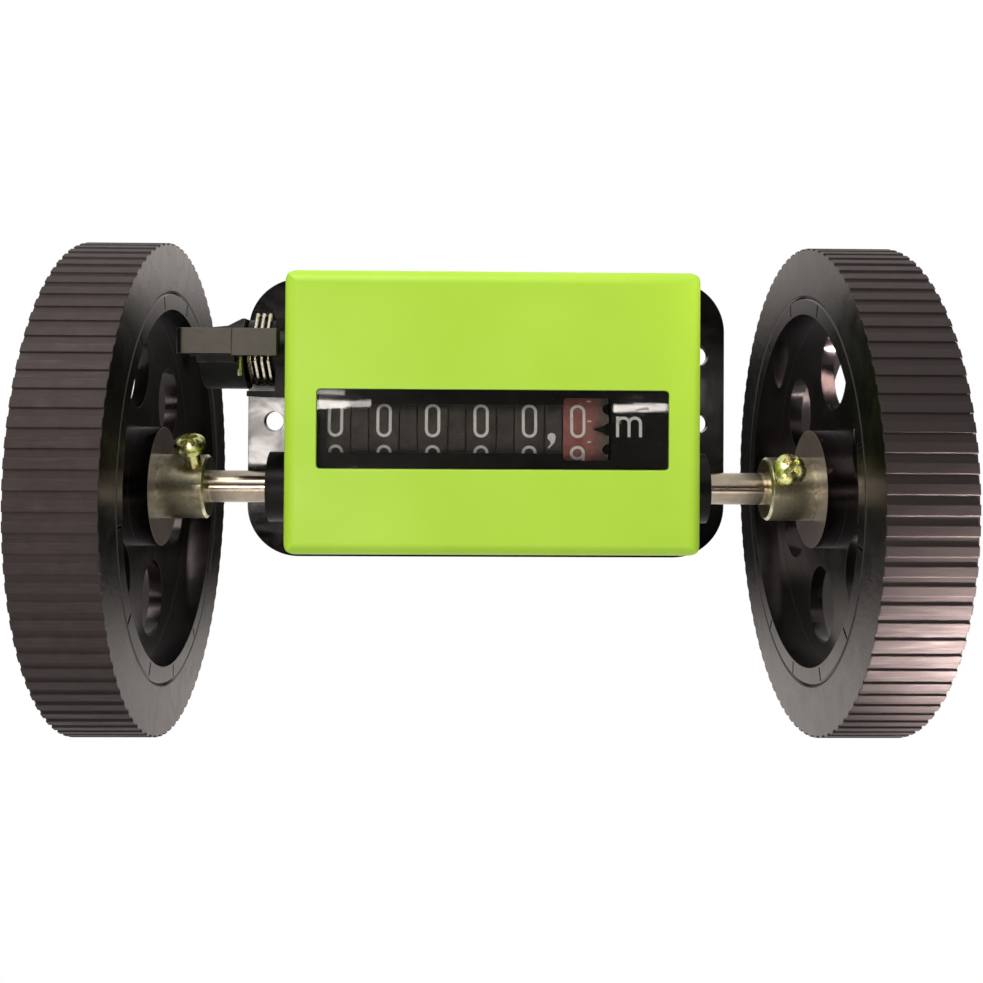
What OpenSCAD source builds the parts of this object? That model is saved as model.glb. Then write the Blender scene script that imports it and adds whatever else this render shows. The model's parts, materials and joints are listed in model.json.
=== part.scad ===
// Measuring wheel: a six-place metre counter driven by an axle with two ribbed running wheels.
// X runs along the axle, +Z is up, and the dial looks along -Y. The origin is the middle of the axle.
// Three turns of the running wheels are one metre and turn the tenths wheel once.

/* [Running wheels] */
// Diameter over the tread: three turns to the metre
wheel_d = 106.1; // [100:0.1:112]
// Width of a running wheel
wheel_w = 16.7; // [15:0.1:20]
// Distance from the middle of the axle to a wheel's inner face
wheel_x = 69; // [68.5:0.5:80]
// Ribs across each tread
tread_ribs = 90; // [60:2:110]
// Depth of the grooves between the ribs
groove_depth = 0.4; // [0.3:0.05:1]
// Thickness of the tyre over its ribs
tyre_t = 10.7; // [8:0.05:11.5]
// Gap of the bond between tyre and core
bond_gap = 0.05; // [0.02:0.01:0.1]
// Thickness of the core's rim on the inner side
rim_t = 3.65; // [3:0.05:5]
// Thickness of the core's rim on the outer side
outer_rim_t = 6.3; // [4:0.1:6.5]
// Depth of the recess on the inner side
inner_recess = 6.5; // [4.5:0.1:7]
// Thickness of the web
web_t = 3; // [2:0.1:5]
// Diameter of the core's hub
hub_d = 26; // [22:0.5:28]
// How far the hub stays below the rim's faces
hub_set_back = 2.4; // [0.5:0.1:3]
// Round holes in the web
web_holes = 6; // [4:1:6]
// Width of the web between the hub and a hole
hub_web = 5; // [4:0.1:6]
// Width of the web between a hole and the rim
rim_web = 3.7; // [3:0.1:5]
// Turn of the left wheel's web holes
left_hole_turn = 104; // [0:1:360]
// Turn of the right wheel's web holes
right_hole_turn = 98.5; // [0:0.5:360]
// Short slits in the rim's inner face
rim_slits = 13; // [8:1:16]
// Width of a slit
slit_w = 0.65; // [0.3:0.05:0.8]
// Depth of a slit
slit_depth = 1; // [0.3:0.1:1]
// How far the right core's slits are turned from the left core's, in degrees
right_slit_turn = 5; // [0:0.5:14]

/* [Axle and collars] */
// Diameter of the axle
axle_d = 7; // [6:0.1:7.4]
// How far the axle's ends stay inside the wheels' outer faces
axle_end_inset = 2.7; // [1.5:0.1:4]
// Radial clearance of a shaft that turns
running_gap = 0.03; // [0.02:0.01:0.06]
// Radial clearance of a piece that is clamped or pressed
seat_gap = 0.03; // [0.02:0.01:0.05]
// Outer diameter of a collar
collar_d = 14; // [13.5:0.1:15]
// How far a collar reaches inboard of its wheel
collar_reach = 7.7; // [6.5:0.1:10]
// How far the collar's outer end stands out of the hub
collar_proud = 0.8; // [0.4:0.1:2]
// Thread diameter of the collar screws
set_screw_d = 3.6; // [3:0.1:4]
// Head diameter of the collar screws
set_head_d = 6.8; // [6:0.1:7.2]
// Head height of the collar screws
set_head_h = 2.4; // [2:0.1:3]
// Length of shank that shows between collar and head
set_shank_out = 4.6; // [1:0.1:6]
// Angle of the left collar screw above the horizontal
left_screw_tilt = 50; // [0:1:90]
// Angle of the right collar screw above the horizontal
right_screw_tilt = 24; // [0:1:90]

/* [Base plate] */
// Width of the plate
plate_w = 112; // [108:0.5:120]
// Height of the plate
plate_h = 65.2; // [62:0.1:72]
// Thickness of the plate
plate_t = 3; // [2.5:0.1:4]
// Radius of the plate's corners
plate_corner = 12; // [8:0.5:14]
// Height of the plate's middle above the axle
plate_rise = 15.2; // [14:0.1:16.5]
// Distance from the axle back to the plate's front face
plate_front = 16; // [15:0.1:20]
// Diameter of the four mounting holes
mount_hole_d = 4.5; // [4:0.1:5]
// Distance between mounting holes along X
mount_dx = 100; // [98:0.5:102]
// Distance between mounting holes along Z
mount_dz = 16; // [14:0.5:20]
// Height of the middle of the mounting holes above the axle
mount_rise = 22.2; // [20:0.1:24]

/* [Cover] */
// Height of the cover's upper face above the axle
cover_top = 43.4; // [42.5:0.1:46]
// Depth of the cover's lower face below the axle
cover_below = 10.2; // [10:0.1:12]
// Thickness of the cover's wall
wall = 2; // [1.8:0.1:2.2]
// Radius of the cover's corners as seen from the front
cover_corner = 2.6; // [1.5:0.1:4]
// Radius of the cover's front edges
cover_edge = 2.4; // [1:0.1:3]
// Width of the cover's face beside the window
window_side = 6.2; // [5:0.1:8]
// Height of the window
window_h = 15; // [14:0.1:16]
// How far the window's middle lies below the number shaft
window_drop = 0.1; // [0:0.1:0.6]
// Clearance round the lens and the bosses
cover_gap = 0.3; // [0.1:0.05:0.5]
// Thickness of the lens's rim behind the wall
lens_flange = 0.6; // [0.5:0.1:1]
// Thickness of the dial's mask
mask_t = 0.8; // [0.6:0.1:1]

/* [Number wheels] */
// Distance of the number shaft in front of the axle
number_y = 22.6; // [22:0.1:23]
// Height of the number shaft above the axle
number_z = 13.6; // [13:0.1:14]
// Diameter of the number shaft
number_shaft_d = 4; // [3.5:0.1:4.5]
// Diameter over the digits
number_d = 25.2; // [24:0.1:25.4]
// Distance from one digit to the next
digit_pitch = 9.2; // [9:0.05:9.6]
// Extra width of the red tenths wheel
tenths_extra = 3.1; // [2.8:0.1:3.2]
// Notches in the edge of the tenths wheel
tenths_notches = 20; // [10:2:24]
// Radius of these notches
notch_r = 1.2; // [0.8:0.1:1.4]
// Thickness of the bands
band_t = 1.4; // [1:0.1:2]
// Largest radius of the heart cams
heart_max_r = 8.4; // [7.5:0.1:8.8]
// Smallest radius of the heart cams
heart_min_r = 3.6; // [3.2:0.1:4]

/* [Gears] */
// Module of the drive gears
drive_module = 0.75; // [0.74:0.01:0.78]
// Teeth of the gear on the axle
axle_teeth = 16; // [16:1:18]
// Teeth of the idler's large gear
idler_large_teeth = 24; // [24:1:25]
// Teeth of the idler's small gear
idler_small_teeth = 12; // [12:1:13]
// Teeth of the gear on the tenths wheel
tenths_teeth = 24; // [24:1:25]
// Module of the carry gears
carry_module = 1; // [0.98:0.01:1.02]
// Teeth of each carry pinion
pinion_teeth = 8; // [8:1:8]
// Teeth of the carry gear on a number wheel
carry_teeth = 20; // [20:1:20]
// How much narrower each tooth is than half a pitch
tooth_slack = 0.16; // [0.1:0.01:0.25]
// Diameter of the idler's shaft
idler_shaft_d = 3; // [2.5:0.1:3.4]
// Diameter of the carry pinions' shaft
pinion_shaft_d = 2; // [1.8:0.1:2.4]

/* [Reset lever] */
// Distance of the lever's shaft in front of the axle
reset_y = 12; // [11.5:0.1:12.5]
// Height of the lever's shaft above the axle
reset_z = 29.5; // [29:0.1:30]
// Diameter of the lever's shaft
reset_shaft_d = 4; // [3.6:0.1:4.4]
// Travel of the lever in degrees
lever_travel = 25; // [15:1:28]
// Outer diameter of the lever's hub
lever_hub_d = 16.4; // [15:0.1:17]
// Length of the lever's hub
lever_hub_l = 8.8; // [7:0.1:9]
// How far the thumb pad reaches beyond the hub's outer end
pad_out = 3.3; // [0.5:0.1:3.6]
// Length of the thumb pad
pad_l = 20; // [16:0.1:20.5]
// Height of the thumb pad
pad_h = 5.4; // [5:0.1:7]
// Thickness of the thumb pad
pad_t = 4.4; // [3.5:0.1:6]
// Distance of the pad's back from the lever's shaft
pad_reach = 10.4; // [9.6:0.1:12]

/* [Return spring] */
// Wire diameter
wire_d = 0.85; // [0.7:0.05:0.85]
// Mean diameter of the coil
coil_d = 15.2; // [15:0.1:15.6]
// Distance between the coil's turns
coil_pitch = 1.3; // [1.28:0.01:1.32]
// Whole turns of the coil, before its last half turn
coil_turns = 3; // [2:1:3]

/* [Hidden] */

$fn = 64;
LEFT = -1;
RIGHT = 1;
nick = 0.01;            // overlap that joins two solids of one piece
over = 1;               // how far a cutter runs past what it cuts
play = 0.3;             // gap beside a piece that moves

// Running wheels
tyre_seat_d = wheel_d - 2 * tyre_t;
core_r = tyre_seat_d / 2;
recess_r = core_r - rim_t;
recess_d = 2 * recess_r;
outer_recess_d = tyre_seat_d - 2 * outer_rim_t;
hub_r = hub_d / 2;
web_hole_d = recess_r - hub_r - hub_web - rim_web;
web_hole_r = hub_r + hub_web + web_hole_d / 2;
web_in = wheel_x + inner_recess;
web_out = web_in + web_t;
wheel_out = wheel_x + wheel_w;
hub_in = wheel_x + hub_set_back;
hub_out = wheel_out - hub_set_back;
rib_half = 360 / tread_ribs * 0.265;
groove_half = 360 / tread_ribs * 0.215;
rim_chamfer = 0.35;     // on both sides of the joint between tyre and core
slit_l = (core_r - recess_r) * 0.75;

// Axle, collars and screws
axle_r = axle_d / 2;
collar_r = collar_d / 2;
collar_in = wheel_x - collar_reach;
collar_out = hub_out + collar_proud;
screw_inboard = 2.4;    // from the middle of the collar's free length towards the cover
screw_x = (collar_in + hub_in) / 2 - screw_inboard;
set_head_r = collar_r + set_shank_out;
screw_tip_gap = 0.1;    // between the screw's tip and the axle
set_tip_r = axle_r + screw_tip_gap;
cross_w = 1.1;
cross_depth = 1.2;
plate_cross_l = 3;      // cross recess of the plate's screws
plate_cross_w = 0.8;
plate_cross_depth = 0.9;
thread_gap = 0.05;

// Number wheels and gears along X, from the left side plate to the right one
places = 6;
TENTHS = places - 1;
cam_x = -2;             // heart cam's left face, from the band's left face
carry_gear_t = 1.4;
next_gap = 0.2;         // between a wheel's carry gear and the next wheel's cam
gap_w = carry_gear_t - cam_x + next_gap;
band_w = digit_pitch - gap_w;
small_gap = 1.3;        // between the tenths wheel's notched edge and the idler's small gear
small_w = 2.8;
large_gap = 0.8;        // between the idler's two gears
large_w = 2.8;
end_room = 5.1;         // for the thrust ring and the bush between large gear and side plate
wheels_w = TENTHS * digit_pitch + band_w + tenths_extra - cam_x;
gears_w = small_gap + small_w + large_gap + large_w;
side_in = (play + wheels_w + gears_w + end_room) / 2;
first_digit_x = -side_in + play - cam_x + band_w / 2;

// Plates and cover
number_r = number_d / 2;
dial_gap = 0.3;         // between the digits and the dial's mask
lens_gap = 0.1;         // between mask and lens
plate_back = plate_front + plate_t;
side_t = 2;
side_gap = 0.4;         // between a side plate and the cover
side_set_back = 0.5;    // side plates' front edges, behind the mask
side_out = side_in + side_t;
cover_in_x = side_out + side_gap;
cover_w = 2 * (cover_in_x + wall);
cover_h = cover_top + cover_below;
cover_rise = (cover_top - cover_below) / 2;
cover_in_top = cover_top - wall;
cover_in_bottom = wall - cover_below;
mask_back = number_y + number_r + dial_gap;
mask_front = mask_back + mask_t;
lens_back = mask_front + lens_gap;
front_in = lens_back + lens_flange;
cover_front = front_in + wall;
window_w = cover_w - 2 * window_side;
window_rise = number_z - window_drop;
window_corner = 0.8;
lens_inset = 0.2;       // lens's face below the cover's
back_side = 1.5;        // how far lens rim and mask reach beside the window
back_rise = 2.5;        // and above and below it
back_corner = 1;
side_top = cover_in_top - side_gap;
side_bottom = cover_in_bottom + side_gap;
side_front = mask_back - side_set_back;
boss_d = 15.4;
boss_reach = 8.7;       // how far a bearing boss stands out of the cover
boss_out = cover_w / 2 + boss_reach;
bush_d = 10;
bush_flange_d = 13;
bush_flange_t = 1;
ring_d = 12;
ring_t = 1.4;
tie_d = 5;
tie_end_d = 3;
tie_from_front = 4.3;
tie_from_top = 3.9;
tie_from_bottom = 4.7;
tie_before_axle = 1.5;
tie_front_drop = 1.5;
tie_centres = [
    [tie_from_front - side_front, cover_in_top - tie_from_top - tie_front_drop],
    [-tie_before_axle, cover_in_top - tie_from_top],
    [tie_from_front - side_front, cover_in_bottom + tie_from_bottom]];
bracket_spigot_d = 8;
foot_l = 9;
foot_t = 2.6;
foot_low = 0;
foot_high = 33;
screw_d = 3;
screw_head_d = 5.6;
screw_head_h = 1.5;
screw_hole_gap = 0.2;
foot_screw_x = side_in - foot_l / 2 - 1;
foot_screw_z = [6, 27];
column_d = 6.4;
column_l = 8.5;
column_from_side = 8.3;
column_x = cover_in_x - column_from_side;
column_inset = 3;
column_z = [cover_in_bottom + column_inset, cover_in_top - column_inset];
cover_screw_l = 10;

// Openings and fingers of the dial's mask
slot_margin = 1.6;      // from the first digit's middle to the slot's end
slot_half_h = 4.6;
tenths_half_h = 5.9;
tenths_corner = 0.6;
pointer_reach = 3.1;    // over the tenths wheel, from its right edge
pointer_half_h = 1.5;
finger_depth = 8;       // stock that the fingers are cut from
finger_gap = 0.2;
finger_t = 1;
finger_half_h = 6.2;

// Number wheels and carry gears; centres in the (Y, Z) plane
AXLE = [0, 0];
NUMBER = [-number_y, number_z];
RESET = [-reset_y, reset_z];
band_left = -band_w / 2;
cam_t = 1.1;
lug_x = -0.8;           // carry lugs, from the band's left face
lug_t = 0.9;
lug_disc_r = 7.4;
lug_r = 8.7;
lug_w = 1.4;
notch_past = 0.2;       // how far a notch is cut past the band's inside
wheel_web_t = 1.2;
wheel_hub_r = 3.4;
pinion_side = -60;      // direction from the number shaft to the pinion shaft
carry_r = carry_module * carry_teeth / 2;
pinion_r = carry_module * pinion_teeth / 2;
pinion_gap = 0.15;      // beside a carry pinion
PINION = NUMBER + (carry_r + pinion_r) * [cos(pinion_side), sin(pinion_side)];
carry_add = 0.5;        // tooth heights in modules
drive_add = 0.8;
root_depth = 1.1;
pressure_angle = 20;

// Drive gears along X, from left to right
tenths_right = digit_x(TENTHS) + band_left + band_w + tenths_extra;
small_x = tenths_right + small_gap;
large_x = small_x + small_w + large_gap;
drive_overhang = 0.3;
idler_hub_r = 3.2;
first_stage = drive_module * (axle_teeth + idler_large_teeth) / 2;
second_stage = drive_module * (idler_small_teeth + tenths_teeth) / 2;
IDLER = upper_meeting(AXLE, NUMBER, first_stage, second_stage);
clip_t = 0.7;
clip_rim = 1.5;
shaft_past_clip = 0.1;

// Reset lever and spring
reset_shaft_r = reset_shaft_d / 2;
bracket_reach = 10.9;   // how far the lever's bearing stands out of the cover
bracket_x = cover_w / 2 + bracket_reach;
bracket_boss_d = 12.4;
flange_reach = 5.1;     // how far the bracket's flange stands out of the cover
bracket_flange_x = cover_w / 2 + flange_reach;
bracket_flange_t = 2;
bracket_low = 19.7;
bracket_high = 36;
bracket_back = 10;
bracket_front = 17;
shelf_t = 1.1;
lever_in = bracket_x + play;
lever_hub_x = lever_in + lever_hub_l;
pad_x = lever_hub_x + pad_out;
pad_rise = -1.8;        // pad's lower edge from the lever's shaft
pad_round = 2;
pad_seam = 11.1;        // from the pad's round end to the seam in its face
seam_w = 0.25;
pad_step = 0.35;        // how much lower the pad is beyond the seam
lever_end_t = 1.5;      // closed outer end of the hub
hub_top = 6.2;          // the hub's upper edge beside the coil, above the shaft
hub_crest = 0.6;        // width of that edge
hub_slope = 2.6;        // width of the steep slope beside it
hub_slope_drop = 1.6;
hub_low_drop = 2.2;     // the hub's outer edge below its upper edge
block_gap = 1.2;        // between the hub's inner face and the block behind the pad
block_drop = 1.2;       // the block's lower face below the pad's
hammer_tube_r = 3;
hammer_r = 9.8;
hammer_w = 2;
hammer_t = 0.9;
hammer_rest = atan2(NUMBER[1] - RESET[1], NUMBER[0] - RESET[0]) - lever_travel;
lever_pin_d = 1.6;
lever_pin_in = 4.7;     // from the hub's inner face
lever_pin_x = lever_in + lever_pin_in;
lever_pin_l = 11;
lever_pin_below = 7;    // how much of the pin lies below the shaft's middle
coil_r = coil_d / 2;
coil_sides = 6;
rings_per_turn = 8;
coil_left = 0.3 - lever_in;
hook_angle = 200;       // where the coil starts, seen along X
leg_gap = 1.4;          // between the hook's leg and the coil's first turn
leg_l = 5.6;            // how far the leg reaches below the lever's shaft

// ---- helpers ----

function polar(r, a) = [r * cos(a), r * sin(a)];
function direction(from, to) = atan2(to[1] - from[1], to[0] - from[0]);
function digit_x(place) = first_digit_x + place * digit_pitch;

// The upper one of the two points at distance ra from a and rb from b
function upper_meeting(a, b, ra, rb) =
    let (
        d = norm(b - a),
        u = (b - a) / d,
        along = (ra * ra - rb * rb + d * d) / (2 * d),
        up = sqrt(ra * ra - along * along)
    )
    a + along * u + up * [u[1], -u[0]];

// Places a shape drawn round the X axis at a centre in the (Y, Z) plane
module at_centre(centre, x = 0) {
    translate([x, centre[0], centre[1]]) children();
}

// Cylinder along X
module rod(x, length, d, centre = AXLE) {
    at_centre(centre, x) rotate([0, 90, 0]) cylinder(h = length, d = d);
}

// The same with both edges chamfered
module chamfered_rod(x, length, d, c) {
    rod(x + c, length - 2 * c, d);
    at_centre(AXLE, x) rotate([0, 90, 0]) cylinder(h = c, d1 = d - 2 * c, d2 = d);
    at_centre(AXLE, x + length - c) rotate([0, 90, 0]) cylinder(h = c, d1 = d, d2 = d - 2 * c);
}

// Extrudes a (Y, Z) outline along X
module along_x(x, length) {
    translate([x, 0, 0]) rotate([90, 0, 90]) linear_extrude(length) children();
}

// Extrudes an (X, Z) outline from back to front along Y
module along_y(y_back, length) {
    translate([0, y_back, 0]) rotate([90, 0, 0]) linear_extrude(length) children();
}

// Draws the right-hand form, or its mirror image on the left
module sided(side) {
    if (side == RIGHT) children();
    else mirror([1, 0, 0]) children();
}

// Rectangle with round corners about the origin
module rounded_rect(w, h, r) {
    square([w - 2 * r, h], center = true);
    square([w, h - 2 * r], center = true);
    for (x = [-1, 1], y = [-1, 1])
        translate([x * (w / 2 - r), y * (h / 2 - r)]) circle(r);
}

// Half the angle of an involute tooth at radius r
function involute(a) = tan(a) * 180 / PI - a;
function half_tooth(r, teeth, module_size) =
    let (pitch_r = teeth * module_size / 2, base_r = pitch_r * cos(pressure_angle))
    90 / teeth - tooth_slack * 90 / (PI * pitch_r) + involute(pressure_angle)
        - (r > base_r ? involute(acos(base_r / r)) : 0);

// Gear outline with one tooth centred on the angle turn
module gear_outline(teeth, module_size, addendum, turn) {
    pitch_r = teeth * module_size / 2;
    base_r = pitch_r * cos(pressure_angle);
    tip_r = pitch_r + addendum * module_size;
    root_r = pitch_r - (addendum + 0.3) * module_size;
    steps = 3;
    low_r = max(base_r, root_r + nick);
    radii = concat([root_r], [for (k = [0:steps]) low_r + (tip_r - low_r) * k / steps]);
    last = len(radii) - 1;
    polygon([for (i = [0:teeth - 1]) let (a = turn + i * 360 / teeth)
        each concat(
            [for (r = radii) polar(r, a - half_tooth(r, teeth, module_size))],
            [for (k = [0:last]) let (r = radii[last - k])
                polar(r, a + half_tooth(r, teeth, module_size))])]);
}

// ---- fixed pieces ----

module mount_holes_2d() {
    for (x = [-1, 1], z = [-1, 1])
        translate([x * mount_dx / 2, mount_rise + z * mount_dz / 2]) circle(d = mount_hole_d);
}

// Calls its children at each screw that comes through the base plate from behind
module at_foot_screws() {
    for (x = [-1, 1], z = foot_screw_z) translate([x * foot_screw_x, 0, z]) children();
}

module at_cover_screws() {
    for (x = [-1, 1], z = column_z) translate([x * column_x, 0, z]) children();
}

module countersunk(length, gap) {
    head = screw_head_d / 2 + gap;
    shank = screw_d / 2 + gap;
    translate([0, plate_back, 0]) rotate([90, 0, 0]) {
        cylinder(h = length, r = shank);
        cylinder(h = screw_head_h, r1 = head, r2 = shank);
    }
}

module cross_recess(length, width, depth) {
    for (turn = [0, 90]) rotate(turn) cube([length, width, 2 * depth], center = true);
}

module plate_screw(length) {
    difference() {
        countersunk(length, 0);
        translate([0, plate_back, 0]) rotate([90, 0, 0]) rotate(45)
            cross_recess(plate_cross_l, plate_cross_w, plate_cross_depth);
    }
}

module base_plate() {
    color([0.06, 0.06, 0.065]) difference() {
        along_y(plate_back, plate_t) difference() {
            translate([0, plate_rise]) rounded_rect(plate_w, plate_h, plate_corner);
            mount_holes_2d();
        }
        at_foot_screws() countersunk(plate_t + over, screw_hole_gap);
        at_cover_screws() countersunk(plate_t + over, screw_hole_gap);
    }
}

// Side plate with its foot and the bearing boss that stands out of the cover
module side_plate(side) {
    sided(side) difference() {
        union() {
            along_x(side_in, side_t)
                translate([-side_front, side_bottom])
                    square([side_front + plate_front, side_top - side_bottom]);
            translate([side_in - foot_l, plate_front - foot_t, foot_low])
                cube([foot_l + nick, foot_t, foot_high - foot_low]);
            rod(side_out - nick, boss_out - side_out + nick, boss_d);
        }
        rod(side_in - over, boss_out - side_in + 2 * over, bush_d + 2 * seat_gap);
        rod(side_in - over, side_t + 2 * over, number_shaft_d + 2 * seat_gap, NUMBER);
        rod(side_in - over, side_t + 2 * over, pinion_shaft_d + 2 * seat_gap, PINION);
        for (centre = tie_centres)
            rod(side_in - over, side_t + 2 * over, tie_end_d + 2 * seat_gap, centre);
        for (z = foot_screw_z)
            translate([foot_screw_x, plate_front + over, z]) rotate([90, 0, 0])
                cylinder(h = foot_t + 2 * over, d = screw_d + 2 * thread_gap);
        if (side == RIGHT) {
            rod(side_in - over, side_t + 2 * over, idler_shaft_d + 2 * seat_gap, IDLER);
            rod(side_in - over, side_t + 2 * over, reset_shaft_d + 2 * running_gap, RESET);
        }
        else rod(side_in - over, side_t + 2 * over, bracket_spigot_d + 2 * seat_gap, RESET);
    }
}

module left_side_plate() { color([0.09, 0.09, 0.09]) side_plate(LEFT); }
module right_side_plate() { color([0.09, 0.09, 0.09]) side_plate(RIGHT); }

// Outer form of the cover: corners rounded in front view, front edges rounded both ways
module cover_block() {
    depth = cover_front + plate_front;
    middle = plate_front;
    intersection() {
        along_y(plate_front, depth) translate([0, cover_rise])
            rounded_rect(cover_w, cover_h, cover_corner);
        along_x(-cover_w / 2, cover_w) translate([middle, cover_rise])
            rounded_rect(2 * depth, cover_h, cover_edge);
        translate([0, middle, cover_rise - cover_h / 2]) linear_extrude(cover_h)
            rounded_rect(cover_w, 2 * depth, cover_edge);
    }
}

// Slot through a side wall, open at the back, so that the cover slides on from the front
module boss_slot(side, centre, d) {
    sided(side) {
        rod(cover_in_x - over, wall + 2 * over, d, centre);
        translate([cover_in_x - over, centre[0], centre[1] - d / 2])
            cube([wall + 2 * over, plate_front - centre[0] + over, d]);
    }
}

module cover() {
    color([0.66, 0.87, 0.22]) difference() {
        union() {
            difference() {
                cover_block();
                translate([-cover_in_x, -front_in, cover_in_bottom])
                    cube([2 * cover_in_x, front_in + plate_front + over,
                        cover_in_top - cover_in_bottom]);
                along_y(-front_in + over, wall + 2 * over) translate([0, window_rise])
                    rounded_rect(window_w, window_h, window_corner);
                boss_slot(LEFT, AXLE, boss_d + 2 * cover_gap);
                boss_slot(RIGHT, AXLE, boss_d + 2 * cover_gap);
                boss_slot(LEFT, RESET, bracket_boss_d + 2 * cover_gap);
            }
            at_cover_screws() translate([0, plate_front, 0]) rotate([90, 0, 0])
                cylinder(h = column_l, d = column_d);
        }
        at_cover_screws() translate([0, plate_front + over, 0]) rotate([90, 0, 0])
            cylinder(h = cover_screw_l - plate_t + over + play, d = screw_d + 2 * thread_gap);
    }
}

// Outline of the mask and of the lens's rim, behind the cover's face
module window_back() {
    translate([0, window_rise])
        rounded_rect(window_w + 2 * back_side, window_h + 2 * back_rise, back_corner);
}

module window_lens() {
    color([0.85, 0.9, 0.92, 0.35]) union() {
        along_y(-front_in + nick, wall - lens_inset + nick) translate([0, window_rise])
            rounded_rect(window_w - cover_gap, window_h - cover_gap, window_corner - cover_gap / 2);
        along_y(-lens_back, lens_flange) window_back();
    }
}

// Curved finger of the mask that fills the space between two digit bands
module mask_finger(place) {
    x = digit_x(place) - band_left;
    outer_r = number_r - finger_gap;
    along_x(x + finger_gap, gap_w - 2 * finger_gap) difference() {
        intersection() {
            translate([-mask_front, number_z - finger_half_h]) square([finger_depth, 2 * finger_half_h]);
            union() {
                translate(NUMBER) circle(outer_r);
                translate([-mask_front, number_z - finger_half_h])
                    square([finger_depth, finger_half_h - slot_half_h]);
                translate([-mask_front, number_z + slot_half_h])
                    square([finger_depth, finger_half_h - slot_half_h]);
            }
        }
        translate(NUMBER) circle(outer_r - finger_t);
    }
}

// Black mask with the slot for five places, the taller opening for the tenths and its pointer
module dial_mask() {
    tenths_left = digit_x(TENTHS) + band_left;
    slot_left = digit_x(0) - slot_margin;
    right = tenths_right + play;
    tip = tenths_right - pointer_reach;
    color([0.05, 0.05, 0.05]) {
        along_y(-mask_back, mask_t) difference() {
            window_back();
            difference() {
                union() {
                    translate([slot_left, number_z - slot_half_h])
                        square([tenths_left - slot_left + over, 2 * slot_half_h]);
                    translate([(tenths_left + right) / 2, number_z])
                        rounded_rect(right - tenths_left, 2 * tenths_half_h, tenths_corner);
                }
                polygon([
                    [tip, number_z],
                    [right + over, number_z - pointer_half_h],
                    [right + over, number_z + pointer_half_h]]);
            }
        }
        for (place = [0:TENTHS - 1]) mask_finger(place);
    }
}

// Flanged bush that carries the axle
module bush(side) {
    color([0.72, 0.5, 0.25]) sided(side) difference() {
        union() {
            rod(side_in - bush_flange_t, bush_flange_t, bush_flange_d);
            rod(side_in - nick, boss_out - side_in + nick, bush_d);
        }
        rod(side_in - bush_flange_t - over, boss_out - side_in + bush_flange_t + 2 * over,
            axle_d + 2 * running_gap);
    }
}

module left_bush() { bush(LEFT); }
module right_bush() { bush(RIGHT); }

module number_shaft() {
    color([0.75, 0.75, 0.74]) rod(-side_out, 2 * side_out, number_shaft_d, NUMBER);
}

module pinion_shaft() {
    color([0.75, 0.75, 0.74]) rod(-side_out, 2 * side_out, pinion_shaft_d, PINION);
}

module idler_shaft() {
    left = small_x - clip_t - play - shaft_past_clip;
    color([0.75, 0.75, 0.74]) rod(left, side_out - left, idler_shaft_d, IDLER);
}

module idler_clip() {
    color([0.25, 0.25, 0.27]) difference() {
        rod(small_x - clip_t - play, clip_t, idler_shaft_d + 2 * clip_rim, IDLER);
        rod(small_x - clip_t - play - over, clip_t + 2 * over, idler_shaft_d + 2 * seat_gap, IDLER);
    }
}

module tie_rods() {
    color([0.72, 0.72, 0.7]) for (centre = tie_centres) {
        rod(-side_in, 2 * side_in, tie_d, centre);
        rod(-side_out, 2 * side_out, tie_end_d, centre);
    }
}

// Bracket on the left side plate: bearing for the lever's shaft, spring seat and shelf
module reset_bracket() {
    flange_y = -bracket_front;
    color([0.07, 0.07, 0.07]) difference() {
        union() {
            rod(-bracket_x, bracket_x - side_out, bracket_boss_d, RESET);
            rod(-side_out - nick, side_t + nick, bracket_spigot_d, RESET);
            translate([-bracket_flange_x, flange_y, bracket_low])
                cube([bracket_flange_t, bracket_back - flange_y, bracket_high - bracket_low]);
            translate([-bracket_x, flange_y, bracket_low])
                cube([bracket_x - bracket_flange_x + nick, bracket_back - flange_y, shelf_t]);
        }
        rod(-bracket_x - over, bracket_x - side_in + 2 * over, reset_shaft_d + 2 * running_gap, RESET);
        spring_hole(-bracket_flange_x - over, bracket_flange_t + 2 * over, coil_end_angle);
    }
}

module spring_hole(x, length, angle) {
    rod(x, length, wire_d + 0.5, RESET + polar(coil_r, angle));
}

module chassis_screws() {
    color([0.7, 0.7, 0.68]) at_foot_screws() plate_screw(plate_t + foot_t - play);
}

module cover_screws() {
    color([0.7, 0.7, 0.68]) at_cover_screws() plate_screw(cover_screw_l);
}

// ---- axle and running wheels ----

module axle() {
    half = wheel_out - axle_end_inset;
    color([0.8, 0.78, 0.74]) chamfered_rod(-half, 2 * half, axle_d, 0.6);
}

module drive_gear() {
    turn = direction(AXLE, IDLER);
    color([0.85, 0.83, 0.75]) difference() {
        along_x(large_x - drive_overhang, large_w + 2 * drive_overhang)
            gear_outline(axle_teeth, drive_module, drive_add, turn);
        rod(large_x - over, large_w + 2 * over, axle_d + 2 * seat_gap);
    }
}

module thrust_rings() {
    color([0.6, 0.6, 0.6]) for (side = [LEFT, RIGHT]) sided(side) difference() {
        rod(side_in - bush_flange_t - play - ring_t, ring_t, ring_d);
        rod(side_in - bush_flange_t - play - ring_t - over, ring_t + 2 * over, axle_d + 2 * seat_gap);
    }
}

// A collar screw lies along +Y turned up by its tilt; this draws it pointing along -Y
module at_set_screw(side, tilt) {
    sided(side) translate([screw_x, 0, 0]) rotate([-tilt, 0, 0]) rotate([90, 0, 0]) children();
}

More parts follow.
